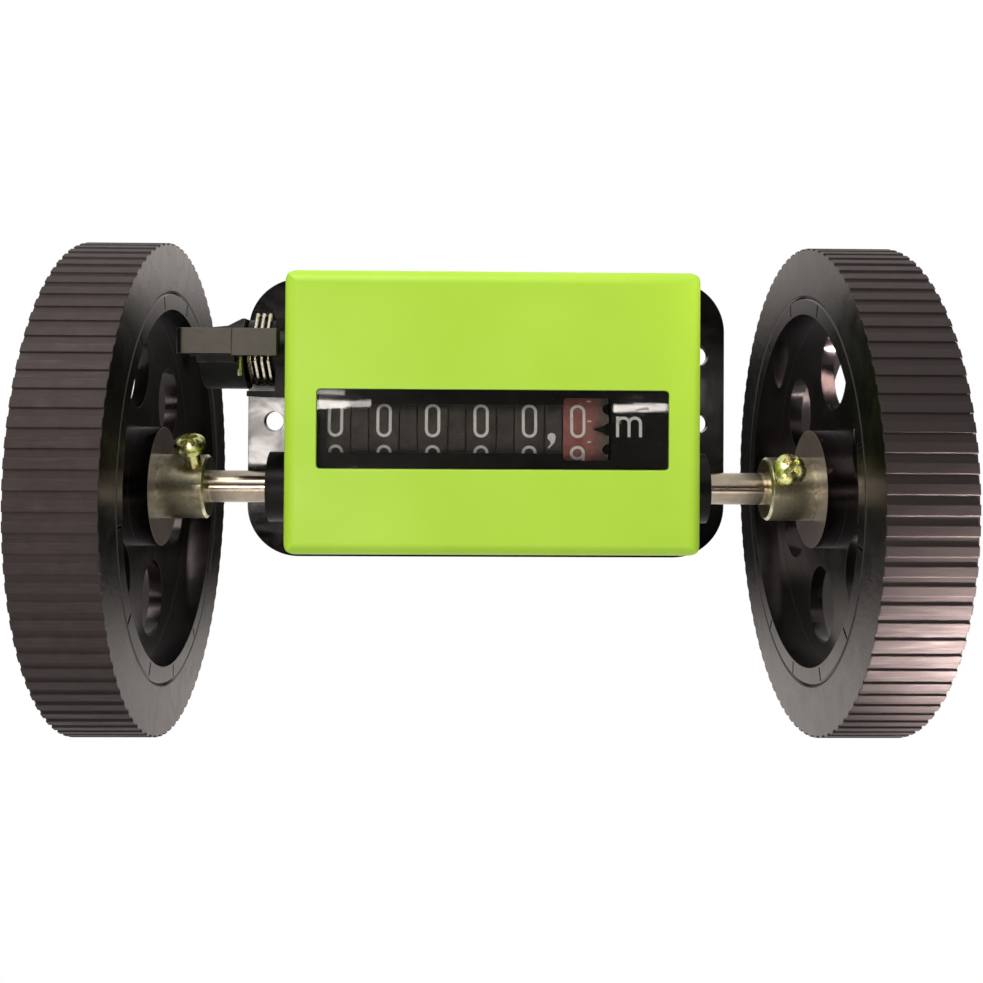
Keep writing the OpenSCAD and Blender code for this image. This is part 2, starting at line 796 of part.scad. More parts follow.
module collar(side, tilt) {
    color([0.62, 0.6, 0.45]) difference() {
        sided(side) chamfered_rod(collar_in, collar_out - collar_in, collar_d, 0.5);
        sided(side) rod(collar_in - over, collar_out - collar_in + 2 * over, axle_d + 2 * seat_gap);
        at_set_screw(side, tilt) cylinder(h = collar_r + over, d = set_screw_d + 2 * thread_gap);
    }
}

module left_collar() { collar(LEFT, left_screw_tilt); }
module right_collar() { collar(RIGHT, right_screw_tilt); }

// Pan-head screw with a cross recess
module set_screw(side, tilt) {
    cross_l = set_head_d * 0.62;
    dome_r = set_head_d * 0.7;
    color([0.72, 0.66, 0.36]) at_set_screw(side, tilt) {
        translate([0, 0, set_tip_r]) cylinder(h = set_head_r - set_tip_r + nick, d = set_screw_d);
        difference() {
            intersection() {
                translate([0, 0, set_head_r]) cylinder(h = set_head_h, d = set_head_d);
                translate([0, 0, set_head_r + set_head_h - dome_r]) sphere(dome_r);
            }
            translate([0, 0, set_head_r + set_head_h]) rotate(45)
                cross_recess(cross_l, cross_w, cross_depth);
        }
    }
}

module left_set_screw() { set_screw(LEFT, left_screw_tilt); }
module right_set_screw() { set_screw(RIGHT, right_screw_tilt); }

// Moulded core: rim, web with round holes and hub
module wheel_core(side, hole_turn, slit_turn) {
    color([0.36, 0.34, 0.32]) sided(side) difference() {
        union() {
            difference() {
                chamfered_rod(wheel_x, wheel_w, tyre_seat_d, rim_chamfer);
                rod(wheel_x - over, inner_recess + over, recess_d);
                rod(web_out, wheel_out - web_out + over, outer_recess_d);
            }
            rod(hub_in, hub_out - hub_in, hub_d);
        }
        rod(hub_in - over, hub_out - hub_in + 2 * over, collar_d + 2 * seat_gap);
        for (i = [0:web_holes - 1])
            rod(web_in - over, web_t + 2 * over, web_hole_d,
                polar(web_hole_r, hole_turn + i * 360 / web_holes));
        for (i = [0:rim_slits - 1]) rotate([90 + slit_turn + (i + 0.5) * 360 / rim_slits, 0, 0])
            translate([wheel_x - over, (core_r + recess_r - slit_l) / 2, -slit_w / 2])
                cube([slit_depth + over, slit_l, slit_w]);
    }
}

module left_wheel_core() { wheel_core(LEFT, left_hole_turn, 0); }
module right_wheel_core() { wheel_core(RIGHT, right_hole_turn, right_slit_turn); }

module tread_outline() {
    tip_r = wheel_d / 2;
    root_r = tip_r - groove_depth;
    pitch = 360 / tread_ribs;
    polygon([for (i = [0:tread_ribs - 1]) each [
        polar(tip_r, i * pitch - rib_half),
        polar(tip_r, i * pitch + rib_half),
        polar(root_r, (i + 0.5) * pitch - groove_half),
        polar(root_r, (i + 0.5) * pitch + groove_half)]]);
}

module tyre(side) {
    bore = tyre_seat_d + 2 * bond_gap;
    color([0.26, 0.24, 0.24]) sided(side) difference() {
        along_x(wheel_x, wheel_w) tread_outline();
        rod(wheel_x - over, wheel_w + 2 * over, bore);
        at_centre(AXLE, wheel_x) rotate([0, 90, 0])
            cylinder(h = rim_chamfer, d1 = bore + 2 * rim_chamfer, d2 = bore);
        at_centre(AXLE, wheel_out) rotate([0, -90, 0])
            cylinder(h = rim_chamfer, d1 = bore + 2 * rim_chamfer, d2 = bore);
    }
}

module left_tyre() { tyre(LEFT); }
module right_tyre() { tyre(RIGHT); }

// ---- counter train ----

module idler_gear() {
    color([0.9, 0.88, 0.8]) difference() {
        union() {
            along_x(small_x, small_w + large_gap + nick) translate(IDLER)
                gear_outline(idler_small_teeth, drive_module, drive_add, direction(IDLER, NUMBER));
            along_x(large_x, large_w) translate(IDLER)
                gear_outline(idler_large_teeth, drive_module, drive_add,
                    direction(IDLER, AXLE) + 180 / idler_large_teeth);
            rod(large_x, side_in - play - large_x, 2 * idler_hub_r, IDLER);
        }
        rod(small_x - over, side_in - small_x + 2 * over, idler_shaft_d + 2 * running_gap, IDLER);
    }
}

// Heart cam whose low point faces the hammer when the wheel shows zero
module heart_outline() {
    low = direction(NUMBER, RESET);
    step = 12;
    polygon([for (a = [-180:step:180 - step])
        polar(heart_min_r + (heart_max_r - heart_min_r) * abs(a) / 180, low + a)]);
}

// Disc with the two lugs that turn the next carry pinion
module lug_outline() {
    circle(lug_disc_r);
    for (turn = [-28, -10]) rotate(pinion_side + turn)
        translate([0, -lug_w / 2]) square([lug_r, lug_w]);
}

// One number wheel; the band's left face is at x = 0
module number_wheel_body(width, lugs, gear_w) {
    left = cam_x;
    difference() {
        union() {
            difference() {
                rod(0, width, number_d);
                rod(-over, width - wheel_web_t + over, number_d - 2 * band_t);
            }
            rod(left, width + gear_w - left, 2 * wheel_hub_r);
            along_x(cam_x, cam_t) heart_outline();
            if (lugs) along_x(lug_x, lug_t) lug_outline();
            children();
        }
        rod(left - over, width + gear_w - left + 2 * over, number_shaft_d + 2 * running_gap);
    }
}

module black_wheel(place) {
    color([0.22, 0.2, 0.19]) at_centre(NUMBER, digit_x(place) + band_left)
        number_wheel_body(band_w, place > 0, carry_gear_t)
            along_x(band_w - nick, carry_gear_t + nick)
                gear_outline(carry_teeth, carry_module, carry_add, pinion_side + 180 / carry_teeth);
}

module ten_thousands_wheel() { black_wheel(0); }
module thousands_wheel() { black_wheel(1); }
module hundreds_wheel() { black_wheel(2); }
module tens_wheel() { black_wheel(3); }
module units_wheel() { black_wheel(4); }

// Red wheel: its right edge is notched, and the driven gear sits beside it
module tenths_wheel() {
    width = band_w + tenths_extra;
    gear_left = width + small_x - tenths_right - drive_overhang / 2;
    gear_w = small_w + drive_overhang;
    color([0.5, 0.2, 0.17]) difference() {
        at_centre(NUMBER, digit_x(TENTHS) + band_left)
            number_wheel_body(width, true, gear_left + gear_w - width)
                along_x(gear_left, gear_w)
                    gear_outline(tenths_teeth, drive_module, drive_add,
                        direction(NUMBER, IDLER) + 180 / tenths_teeth);
        for (i = [0:tenths_notches - 1]) at_centre(NUMBER, tenths_right)
            rotate([i * 360 / tenths_notches, 0, 0])
                translate([0, number_r - band_t - notch_past, 0]) rotate([-90, 0, 0])
                    cylinder(h = band_t + over, r = notch_r);
    }
}

module carry_pinion(place) {
    x = digit_x(place) - band_left;
    color([0.85, 0.85, 0.82]) difference() {
        along_x(x + pinion_gap, gap_w - 2 * pinion_gap) translate(PINION)
            gear_outline(pinion_teeth, carry_module, carry_add, pinion_side + 180);
        rod(x - over, gap_w + 2 * over, pinion_shaft_d + 2 * running_gap, PINION);
    }
}

module carry_pinion_1() { carry_pinion(0); }
module carry_pinion_2() { carry_pinion(1); }
module carry_pinion_3() { carry_pinion(2); }
module carry_pinion_4() { carry_pinion(3); }
module carry_pinion_5() { carry_pinion(4); }

// ---- reset lever ----

// Bar with one round end, a seam in its face and a step in its underside
module thumb_pad(back, low) {
    difference() {
        translate([-pad_x, back - pad_t, low]) linear_extrude(pad_h) {
            translate([pad_l / 2, pad_t / 2]) rounded_rect(pad_l, pad_t, pad_round);
            translate([pad_l / 2, 0]) square([pad_l / 2, pad_t]);
        }
        translate([-pad_x + pad_seam, back - pad_t - over, low - over])
            cube([seam_w, over + seam_w, pad_h + 2 * over]);
        translate([-pad_x - over, back - pad_t - over, low - over])
            cube([pad_seam + over, pad_t + over - nick, pad_step + over]);
    }
}

module reset_lever() {
    pad_back = -reset_y - pad_reach;
    pad_low = reset_z + pad_rise;
    lever_r = lever_hub_d / 2;
    color([0.12, 0.12, 0.12]) difference() {
        union() {
            intersection() {
                rod(-lever_hub_x, lever_hub_x - lever_in, lever_hub_d, RESET);
                along_y(-reset_y + lever_r, 2 * lever_r) polygon([
                    [-lever_hub_x, reset_z - lever_r],
                    [-lever_in, reset_z - lever_r],
                    [-lever_in, reset_z + hub_top],
                    [-lever_in - hub_crest, reset_z + hub_top],
                    [-lever_in - hub_crest - hub_slope, reset_z + hub_top - hub_slope_drop],
                    [-lever_hub_x, reset_z + hub_top - hub_low_drop]]);
            }
            translate([-lever_hub_x, pad_back - nick, pad_low - block_drop])
                cube([lever_hub_x - lever_in - block_gap, pad_reach + nick, pad_h]);
            thumb_pad(pad_back, pad_low);
        }
        rod(-lever_hub_x + lever_end_t, lever_hub_x, reset_shaft_d + 2 * seat_gap, RESET);
        translate([-lever_pin_x, -reset_y, reset_z - lever_r - over])
            cylinder(h = lever_hub_d + 2 * over, d = lever_pin_d + 2 * seat_gap);
    }
}

module lever_pin() {
    color([0.6, 0.6, 0.6]) translate([-lever_pin_x, -reset_y, reset_z - lever_pin_below])
        cylinder(h = lever_pin_l, d = lever_pin_d);
}

module reset_shaft() {
    shaft_left = lever_hub_x - lever_end_t - play;
    color([0.75, 0.75, 0.74]) difference() {
        rod(-shaft_left, shaft_left + side_out, reset_shaft_d, RESET);
        translate([-lever_pin_x, -reset_y, reset_z - hammer_tube_r])
            cylinder(h = 2 * hammer_tube_r, d = lever_pin_d + 2 * seat_gap);
    }
}

// Tube on the reset shaft with a finger in front of each heart cam
module reset_hammers() {
    left = digit_x(0) + band_left + cam_x;
    right = digit_x(TENTHS) + band_left;
    color([0.55, 0.55, 0.53]) difference() {
        union() {
            rod(left, right - left, 2 * hammer_tube_r, RESET);
            for (place = [0:TENTHS])
                along_x(digit_x(place) + band_left + cam_x + (cam_t - hammer_t) / 2, hammer_t)
                    translate(RESET) rotate(hammer_rest)
                        translate([0, -hammer_w / 2]) square([hammer_r, hammer_w]);
        }
        rod(left - over, right - left + 2 * over, reset_shaft_d + 2 * seat_gap, RESET);
    }
}

// ---- return spring: one unbroken wire ----

coil_rings = (coil_turns + 0.5) * rings_per_turn;
coil_end_angle = hook_angle + coil_rings * 360 / rings_per_turn;
coil_x0 = coil_left + wire_d / 2;
bend = 0.4;

function coil_point(k) =
    let (a = hook_angle + k * 360 / rings_per_turn, p = RESET + polar(coil_r, a))
    [coil_x0 + bend + k * coil_pitch / rings_per_turn, p[0], p[1]];

function tang_point(x, angle) = let (p = RESET + polar(coil_r, angle)) [x, p[0], p[1]];

// Hook behind the thumb pad: a leg that bears on the pad and turns over into the coil
function hook_points() =
    let (
        x = coil_x0 + bend - leg_gap,
        y = -reset_y - pad_reach + play + wire_d / 2
    )
    [
        [x, y + 0.4, reset_z - leg_l],
        [x, y, reset_z - leg_l + 1.3],
        [x, y, reset_z - 0.9],
        [x + 0.15, y + 0.2, reset_z + 0.2],
        [x + leg_gap / 2, y + 1, reset_z + 0.85],
        [x + leg_gap - 0.1, y + 1.8, reset_z + 0.4],
        tang_point(x + leg_gap, hook_angle - 12)
    ];

// The wire's centre line: hook, coil, tang into the bracket's flange
function spring_line() =
    let (last_x = -bracket_flange_x + bracket_flange_t - play)
    concat(
        hook_points(),
        [for (k = [0:coil_rings]) coil_point(k)],
        [tang_point(last_x - wire_d, coil_end_angle), tang_point(last_x, coil_end_angle)]);

function unit(v) = v / norm(v);
function across(v, t) = unit(v - (v * t) * t);

// Carries a side direction along the line without twist
function carried(line, k, side) =
    let (
        a = line[max(k - 1, 0)],
        b = line[min(k + 1, len(line) - 1)],
        t = unit(b - a),
        s = across(side, t)
    )
    k == len(line) - 1 ? [[t, s]] : concat([[t, s]], carried(line, k + 1, s));

module swept_wire(line, r, sides) {
    frames = carried(line, 0, [0, 0, 1]);
    rings = len(line);
    points = [for (k = [0:rings - 1]) let (t = frames[k][0], s = frames[k][1], n = cross(t, s))
        each [for (j = [0:sides - 1])
            line[k] + r * (cos(j * 360 / sides) * s + sin(j * 360 / sides) * n)]];
    faces = concat(
        [for (k = [0:rings - 2], j = [0:sides - 1]) let (m = (j + 1) % sides)
            each [[k * sides + j, (k + 1) * sides + j, k * sides + m],
                  [k * sides + m, (k + 1) * sides + j, (k + 1) * sides + m]]],
        [for (j = [1:sides - 2]) [0, j, j + 1]],
        [for (j = [1:sides - 2]) let (e = (rings - 1) * sides) [e, e + j + 1, e + j]]);
    polyhedron(points, faces);
}

module return_spring() {
    line = spring_line();
    apart = rings_per_turn - 2;
    echo(least_gap = min([for (i = [0:len(line) - 1], j = [i + apart:1:len(line) - 1])
        norm(line[i] - line[j])]) - wire_d);
    color([0.75, 0.7, 0.6]) swept_wire(line, wire_d / 2, coil_sides);
}

base_plate();
left_side_plate();
right_side_plate();
cover();
window_lens();
dial_mask();
left_bush();
right_bush();
number_shaft();
pinion_shaft();
idler_shaft();
idler_clip();
tie_rods();
reset_bracket();
chassis_screws();
cover_screws();
axle();
drive_gear();
thrust_rings();
left_collar();
right_collar();
left_set_screw();
right_set_screw();
left_wheel_core();
right_wheel_core();
left_tyre();
right_tyre();
idler_gear();
ten_thousands_wheel();
thousands_wheel();
hundreds_wheel();
tens_wheel();
units_wheel();
tenths_wheel();
carry_pinion_1();
carry_pinion_2();
carry_pinion_3();
carry_pinion_4();
carry_pinion_5();
reset_lever();
lever_pin();
reset_shaft();
reset_hammers();
return_spring();
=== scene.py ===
"""Measuring wheel: finishes, printed marks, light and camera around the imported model.

The model's own frame is kept: X runs along the axle, +Z is up, and the dial looks along -Y.
Sizes and places are in millimetres, and MM turns them into the scene's metres.
"""

import json
import math

import bpy
from mathutils import Matrix, Vector


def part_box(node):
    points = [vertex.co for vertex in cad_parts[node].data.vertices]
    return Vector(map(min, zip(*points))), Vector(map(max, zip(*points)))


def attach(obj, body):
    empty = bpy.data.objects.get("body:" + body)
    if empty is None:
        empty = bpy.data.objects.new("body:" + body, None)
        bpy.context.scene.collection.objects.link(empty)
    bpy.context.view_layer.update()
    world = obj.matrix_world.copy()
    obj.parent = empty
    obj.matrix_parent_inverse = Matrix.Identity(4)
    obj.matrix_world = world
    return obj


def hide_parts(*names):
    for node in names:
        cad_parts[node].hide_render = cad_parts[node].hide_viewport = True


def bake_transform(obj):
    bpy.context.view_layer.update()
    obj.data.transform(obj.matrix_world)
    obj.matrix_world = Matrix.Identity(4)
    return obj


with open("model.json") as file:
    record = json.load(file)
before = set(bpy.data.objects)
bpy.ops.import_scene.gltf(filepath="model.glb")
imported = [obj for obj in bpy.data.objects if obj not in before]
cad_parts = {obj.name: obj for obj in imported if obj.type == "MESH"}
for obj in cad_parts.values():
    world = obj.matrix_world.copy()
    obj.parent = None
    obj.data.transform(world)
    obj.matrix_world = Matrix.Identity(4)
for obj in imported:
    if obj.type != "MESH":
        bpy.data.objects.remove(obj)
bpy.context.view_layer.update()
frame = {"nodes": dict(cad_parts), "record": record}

MM = 0.001
WHITE = (1.0, 1.0, 1.0)


# ---- helpers ----


def linked(name, data):
    """A new object in the scene around its mesh, lamp or camera."""
    thing = bpy.data.objects.new(name, data)
    bpy.context.scene.collection.objects.link(thing)
    return thing


def flat(name, corners):
    """A new object with one four-sided face."""
    mesh = bpy.data.meshes.new(name)
    mesh.from_pydata([Vector(corner) * MM for corner in corners], [], [(0, 1, 2, 3)])
    return linked(name, mesh)


def node_material(name):
    material = bpy.data.materials.new(name)
    material.use_nodes = True
    return material


def larger(tree, a, b):
    """The larger of two values in a node tree."""
    node = tree.nodes.new("ShaderNodeMath")
    node.operation = "MAXIMUM"
    tree.links.new(a, node.inputs[0])
    tree.links.new(b, node.inputs[1])
    return node.outputs[0]


# ---- camera ----

IMAGE_SIZE = 983                        # pixels, both ways
FOCAL_PX = 1137.45
CENTRE_PX = (483.04, 396.87)            # where the lens looks straight ahead
CAMERA_AT = (-5.70, -251.9, 17.30)
YAW, PITCH, ROLL = -0.01777, 0.01095, -0.00606      # radians
SENSOR_W = 36.0
NEAREST = 5                             # nothing closer to the camera is drawn


def make_camera():
    data = bpy.data.cameras.new("camera")
    data.sensor_width = SENSOR_W
    data.lens = FOCAL_PX * SENSOR_W / IMAGE_SIZE
    data.shift_x = (IMAGE_SIZE / 2 - CENTRE_PX[0]) / IMAGE_SIZE
    data.shift_y = (CENTRE_PX[1] - IMAGE_SIZE / 2) / IMAGE_SIZE
    data.clip_start = NEAREST * MM
    camera = linked("camera", data)
    turn = (
        Matrix.Rotation(YAW, 4, "Z")
        @ Matrix.Rotation(PITCH, 4, "X")
        @ Matrix.Rotation(ROLL, 4, "Y")
        @ Matrix.Rotation(math.pi / 2, 4, "X")
    )
    camera.matrix_world = Matrix.Translation(Vector(CAMERA_AT) * MM) @ turn
    bpy.context.scene.camera = camera


# ---- floor, light and background ----

WORLD_FILL = 0.62                       # the background's brightness as a light on the part

LIGHTS = {
    # name: (place, aim, size, watts, colour, spread in degrees)
    "key_light": ((-200, -460, 600), (0, 0, 0), (420, 420), 3.2, (1.0, 0.98, 0.95), 180),
    "low_light": ((240, -150, -380), (108, -42, -14), (50, 50), 0.115, (1.0, 0.87, 0.86), 9),
}

FLOOR_HALF, FLOOR_Z = 3000, -420
FLOOR_GREY = (0.8, 0.8, 0.8)

CARD_TINT = (1.0, 0.93, 0.88)
FRONT_CARDS_Y = -560
FRONT_CARDS = {
    # name: (left, right, low, high, glow)
    "dark_room": (-330, 330, -300, 260, 0.03),
    "left_window": (-176, -128, -34, 30, 42.0),
    "left_low_window": (-250, -190, -150, 0, 6.0),
    "right_window": (150, 176, 10, 46, 6.0),
    "left_strip": (-102, -78, 16.4, 22.0, 16.0),
    "left_strip_end": (-78, -64, 17.2, 21.6, 7.0),
    "left_upper_strip": (-102, -82, 25.8, 29.2, 6.0),
    "right_strip": (90, 128, 16.4, 21.6, 14.0),
    "low_glow": (-260, 260, -300, -180, 3.0),
}
BACK_CARD_Y = 560
BACK_CARD = (-420, 420, -330, 330)      # left, right, low, high
BACK_DARK = (-90, 50)                   # heights between which the card is dark
BACK_FADE = 90                          # height over which it brightens beyond them
BACK_GLOW = 0.02                        # its brightness in the dark band
BACK_LEVELS = {
    # edge of the dark band: how bright the card is beyond it, at the left and at the right
    BACK_DARK[0]: (1.2, 0.73),
    BACK_DARK[1]: (0.84, 1.38),
}
BACK_SPLIT = 150                        # left turns into right over this far on each side of X = 0


def make_world():
    """White to the camera, in reflections and through the lens, and dimmer as a light."""
    world = bpy.data.worlds.new("studio")
    bpy.context.scene.world = world
    world.use_nodes = True
    tree = world.node_tree
    path = tree.nodes.new("ShaderNodeLightPath").outputs
    seen = larger(tree, path["Is Camera Ray"], path["Is Glossy Ray"])
    seen = larger(tree, seen, path["Is Transmission Ray"])
    shade = tree.nodes.new("ShaderNodeMix")
    shade.data_type = "RGBA"
    tree.links.new(seen, shade.inputs["Factor"])
    shade.inputs["A"].default_value = (WORLD_FILL, WORLD_FILL, WORLD_FILL, 1)
    shade.inputs["B"].default_value = (*WHITE, 1)
    tree.links.new(shade.outputs["Result"], tree.nodes["Background"].inputs["Color"])


def make_lights():
    for name, (place, aim, size, watts, colour, spread) in LIGHTS.items():
        data = bpy.data.lights.new(name, "AREA")
        data.shape = "RECTANGLE"
        data.size, data.size_y = size[0] * MM, size[1] * MM
        data.energy = watts
        data.color = colour
        data.spread = math.radians(spread)
        lamp = linked(name, data)
        lamp.location = Vector(place) * MM
        towards = Vector(aim) - Vector(place)
        lamp.rotation_euler = towards.to_track_quat("-Z", "Y").to_euler()


def make_floor():
    """A pale floor well below the part, which is held up by its mounting plate."""
    corners = [(-1, -1), (1, -1), (1, 1), (-1, 1)]
    floor = flat("floor", [(x * FLOOR_HALF, y * FLOOR_HALF, FLOOR_Z) for x, y in corners])
    material = node_material("pale_floor")
    tree = material.node_tree
    tree.nodes.clear()
    matt = tree.nodes.new("ShaderNodeBsdfDiffuse")
    matt.inputs["Color"].default_value = (*FLOOR_GREY, 1)
    white = tree.nodes.new("ShaderNodeEmission")
    white.inputs["Color"].default_value = (*WHITE, 1)
    path = tree.nodes.new("ShaderNodeLightPath").outputs
    seen = larger(tree, path["Is Camera Ray"], path["Is Glossy Ray"])
    mixed = tree.nodes.new("ShaderNodeMixShader")
    for place, source in enumerate((seen, matt.outputs[0], white.outputs[0])):
        tree.links.new(source, mixed.inputs[place])
    out = tree.nodes.new("ShaderNodeOutputMaterial")
    tree.links.new(mixed.outputs[0], out.inputs["Surface"])
    floor.data.materials.append(material)


def reflected_card(name, y, left, right, low, high):
    """The shader, and its node tree, of an upright glowing card that only reflections see."""
    card = flat(name, [(left, y, low), (right, y, low), (right, y, high), (left, y, high)])
    card.visible_camera = False
    card.visible_diffuse = False
    card.visible_shadow = False
    material = node_material(name)
    shader = material.node_tree.nodes["Principled BSDF"]
    shader.inputs["Base Color"].default_value = (0, 0, 0, 1)
    shader.inputs["Specular IOR Level"].default_value = 0
    shader.inputs["Emission Color"].default_value = (*CARD_TINT, 1)
    card.data.materials.append(material)
    return shader, material.node_tree


def make_front_cards():
    """What reflections see behind the camera: a dark room, its windows and lamp strips."""
    for layer, (name, (*sides, glow)) in enumerate(FRONT_CARDS.items()):
        shader, _ = reflected_card(name, FRONT_CARDS_Y + layer, *sides)
        shader.inputs["Emission Strength"].default_value = glow


def make_back_card():
    """A card behind the part that keeps the wheels' glossy sides dark at the axle's height."""
    shader, tree = reflected_card("back_card", BACK_CARD_Y, *BACK_CARD)
    nodes, links = tree.nodes, tree.links
    place = nodes.new("ShaderNodeTexCoord")
    split = nodes.new("ShaderNodeSeparateXYZ")
    links.new(place.outputs["Object"], split.inputs[0])
    fades = []
    for (edge, (left, right)), away in zip(BACK_LEVELS.items(), (-1, 1)):
        level = nodes.new("ShaderNodeMapRange")
        links.new(split.outputs["X"], level.inputs["Value"])
        level.inputs["From Min"].default_value = -BACK_SPLIT * MM
        level.inputs["From Max"].default_value = BACK_SPLIT * MM
        level.inputs["To Min"].default_value = left
        level.inputs["To Max"].default_value = right
        fade = nodes.new("ShaderNodeMapRange")
        fade.interpolation_type = "SMOOTHSTEP"
        links.new(split.outputs["Z"], fade.inputs["Value"])
        fade.inputs["From Min"].default_value = edge * MM
        fade.inputs["From Max"].default_value = (edge + away * BACK_FADE) * MM
        fade.inputs["To Min"].default_value = BACK_GLOW
        links.new(level.outputs["Result"], fade.inputs["To Max"])
        fades.append(fade.outputs["Result"])
    links.new(larger(tree, *fades), shader.inputs["Emission Strength"])


# ---- places on the part ----

HUB_FACE = 71.4                         # the hub's inner face, from the middle of the axle
HUB_R = 13.2
RECESS_R = 38.7                         # the recess inside the lip
GROOVE_R = 52.8                         # between the grooves' bottoms and the ribs' tops
MID_SHADE_FROM = (-24, -8)                  # heights over which the right tread's painted shade in its middle sets in
MID_SHADE_TO = (46, 26)                     # and those over which that painted shade ends
SHADED_FROM = (-26, -40)                # heights over which painted shade darkens the left tread downwards
PAD_FADE = (1.6, 1.2)                   # behind the lever's face, where its painted highlight fades out
MASK_BACK = (0.82, 0.86)                # behind the mask's face, where its sheet ends
FINGER_R = 12.4                         # the mask's finger from the number shaft's axis
NOTCHED_EDGE = 10.7                     # the tenths wheel's notched edge, from its left end
NOTCH_FADE = (-3.4, -0.6)               # from that edge, where red turns into grey


def number_axis():
    """The number shaft's place in Y and Z."""
    low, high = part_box("number_shaft")
    return (low.y + high.y) / 2 / MM, (low.z + high.z) / 2 / MM


def number_wheel(place):
    """A number wheel's left end and radius."""
    low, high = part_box(f"{place}_wheel")
    return low.x / MM, (high.z - low.z) / 2 / MM


# ---- finishes ----


class Finish:
    """One node material in the making. Sizes are in millimetres on the part."""

    def __init__(self, name, metallic=0.0, specular=0.5, tint=WHITE):
        self.material = node_material(name)
        self.tree = self.material.node_tree
        self.shader = self.tree.nodes["Principled BSDF"]
        self.shader.inputs["Metallic"].default_value = metallic
        self.shader.inputs["Specular IOR Level"].default_value = specular
        self.shader.inputs["Specular Tint"].default_value = (*tint, 1)
        coordinates = self.add("ShaderNodeTexCoord")
        self.place = coordinates.outputs["Object"]
        self.facing = coordinates.outputs["Normal"]

    def add(self, kind, **settings):
        node = self.tree.nodes.new(kind)
        for key, value in settings.items():
            setattr(node, key, value)
        return node

    def join(self, source, target):
        """Link an output to an input, or give the input a number or a colour."""
        if isinstance(source, (int, float)):
            target.default_value = source
        elif isinstance(source, tuple):
            target.default_value = (*source, 1)
        else:
            self.tree.links.new(source, target)

    def noise(self, size, detail=3.0, rough=0.55, stretch=(1, 1, 1), distort=0.0):
        """Grey noise with grains about size across, drawn out along an axis by its stretch."""
        mapping = self.add("ShaderNodeMapping")
        mapping.inputs["Scale"].default_value = [1 / s for s in stretch]
        self.join(self.place, mapping.inputs["Vector"])
        node = self.add("ShaderNodeTexNoise")
        node.inputs["Scale"].default_value = 1 / (size * MM)
        node.inputs["Detail"].default_value = detail
        node.inputs["Roughness"].default_value = rough
        node.inputs["Distortion"].default_value = distort
        self.join(mapping.outputs[0], node.inputs["Vector"])
        return node.outputs["Fac"]

    def cells(self, size):
        node = self.add("ShaderNodeTexVoronoi")
        node.inputs["Scale"].default_value = 1 / (size * MM)
        self.join(self.place, node.inputs["Vector"])
        return node.outputs["Distance"]

    def across(self, vector, axis):
        split = self.add("ShaderNodeSeparateXYZ")
        self.join(vector, split.inputs[0])
        return split.outputs[axis]

    def from_axis(self, y=0, z=0):
        """Distance from the axle's line, or from another line along X."""
        aside = self.calc("SUBTRACT", self.across(self.place, "Y"), y * MM)
        above = self.calc("SUBTRACT", self.across(self.place, "Z"), z * MM)
        squares = self.calc("ADD", self.times(aside, aside), self.times(above, above))
        return self.calc("SQRT", squares)

    def span(self, value, low, high, to_low=0.0, to_high=1.0):
        node = self.add("ShaderNodeMapRange")
        self.join(value, node.inputs["Value"])
        self.join(low, node.inputs["From Min"])
        self.join(high, node.inputs["From Max"])
        self.join(to_low, node.inputs["To Min"])
        self.join(to_high, node.inputs["To Max"])
        return node.outputs["Result"]

    def zone(self, place, low, high, to_low=0.0, to_high=1.0):
        """The span of a distance or a place, between two values in millimetres."""
        return self.span(place, low * MM, high * MM, to_low, to_high)

    def mix(self, factor, a, b):
        node = self.add("ShaderNodeMix", data_type="RGBA")
        self.join(factor, node.inputs["Factor"])
        self.join(a, node.inputs["A"])
        self.join(b, node.inputs["B"])
        return node.outputs["Result"]

    def calc(self, operation, a, b=0.0):
        node = self.add("ShaderNodeMath", operation=operation)
        self.join(a, node.inputs[0])
        self.join(b, node.inputs[1])
        return node.outputs[0]

    def times(self, a, b):
        return self.calc("MULTIPLY", a, b)

    def rounded(self, radius):
        """The normal as if edges were rounded to a radius."""
        bevel = self.add("ShaderNodeBevel", samples=4)
        bevel.inputs["Radius"].default_value = radius * MM
        return bevel.outputs[0]

    def edges(self, radius, low=0.02, high=0.25):
        """1 on sharp edges and 0 on flat faces: how far the rounded normal leans from the true."""
        dot = self.add("ShaderNodeVectorMath", operation="DOT_PRODUCT")
        self.join(self.rounded(radius), dot.inputs[0])
        self.join(self.add("ShaderNodeNewGeometry").outputs["Normal"], dot.inputs[1])
        return self.span(self.calc("SUBTRACT", 1.0, dot.outputs["Value"]), low, high)

    def relief(self, *layers, round_edges=0.0):
        """Bump layers of (height, depth), over edges rounded to a radius."""
        normal = self.rounded(round_edges) if round_edges else None
        for height, depth in layers:
            bump = self.add("ShaderNodeBump")
            bump.inputs["Strength"].default_value = 1.0
            bump.inputs["Distance"].default_value = depth * MM
            self.join(height, bump.inputs["Height"])
            if normal:
                self.join(normal, bump.inputs["Normal"])
            normal = bump.outputs[0]
        self.join(normal, self.shader.inputs["Normal"])

    def colour(self, value):
        self.join(value, self.shader.inputs["Base Color"])

    def roughness(self, value):
        self.join(value, self.shader.inputs["Roughness"])


DEEP_BLACK = (0.003, 0.0027, 0.0025)


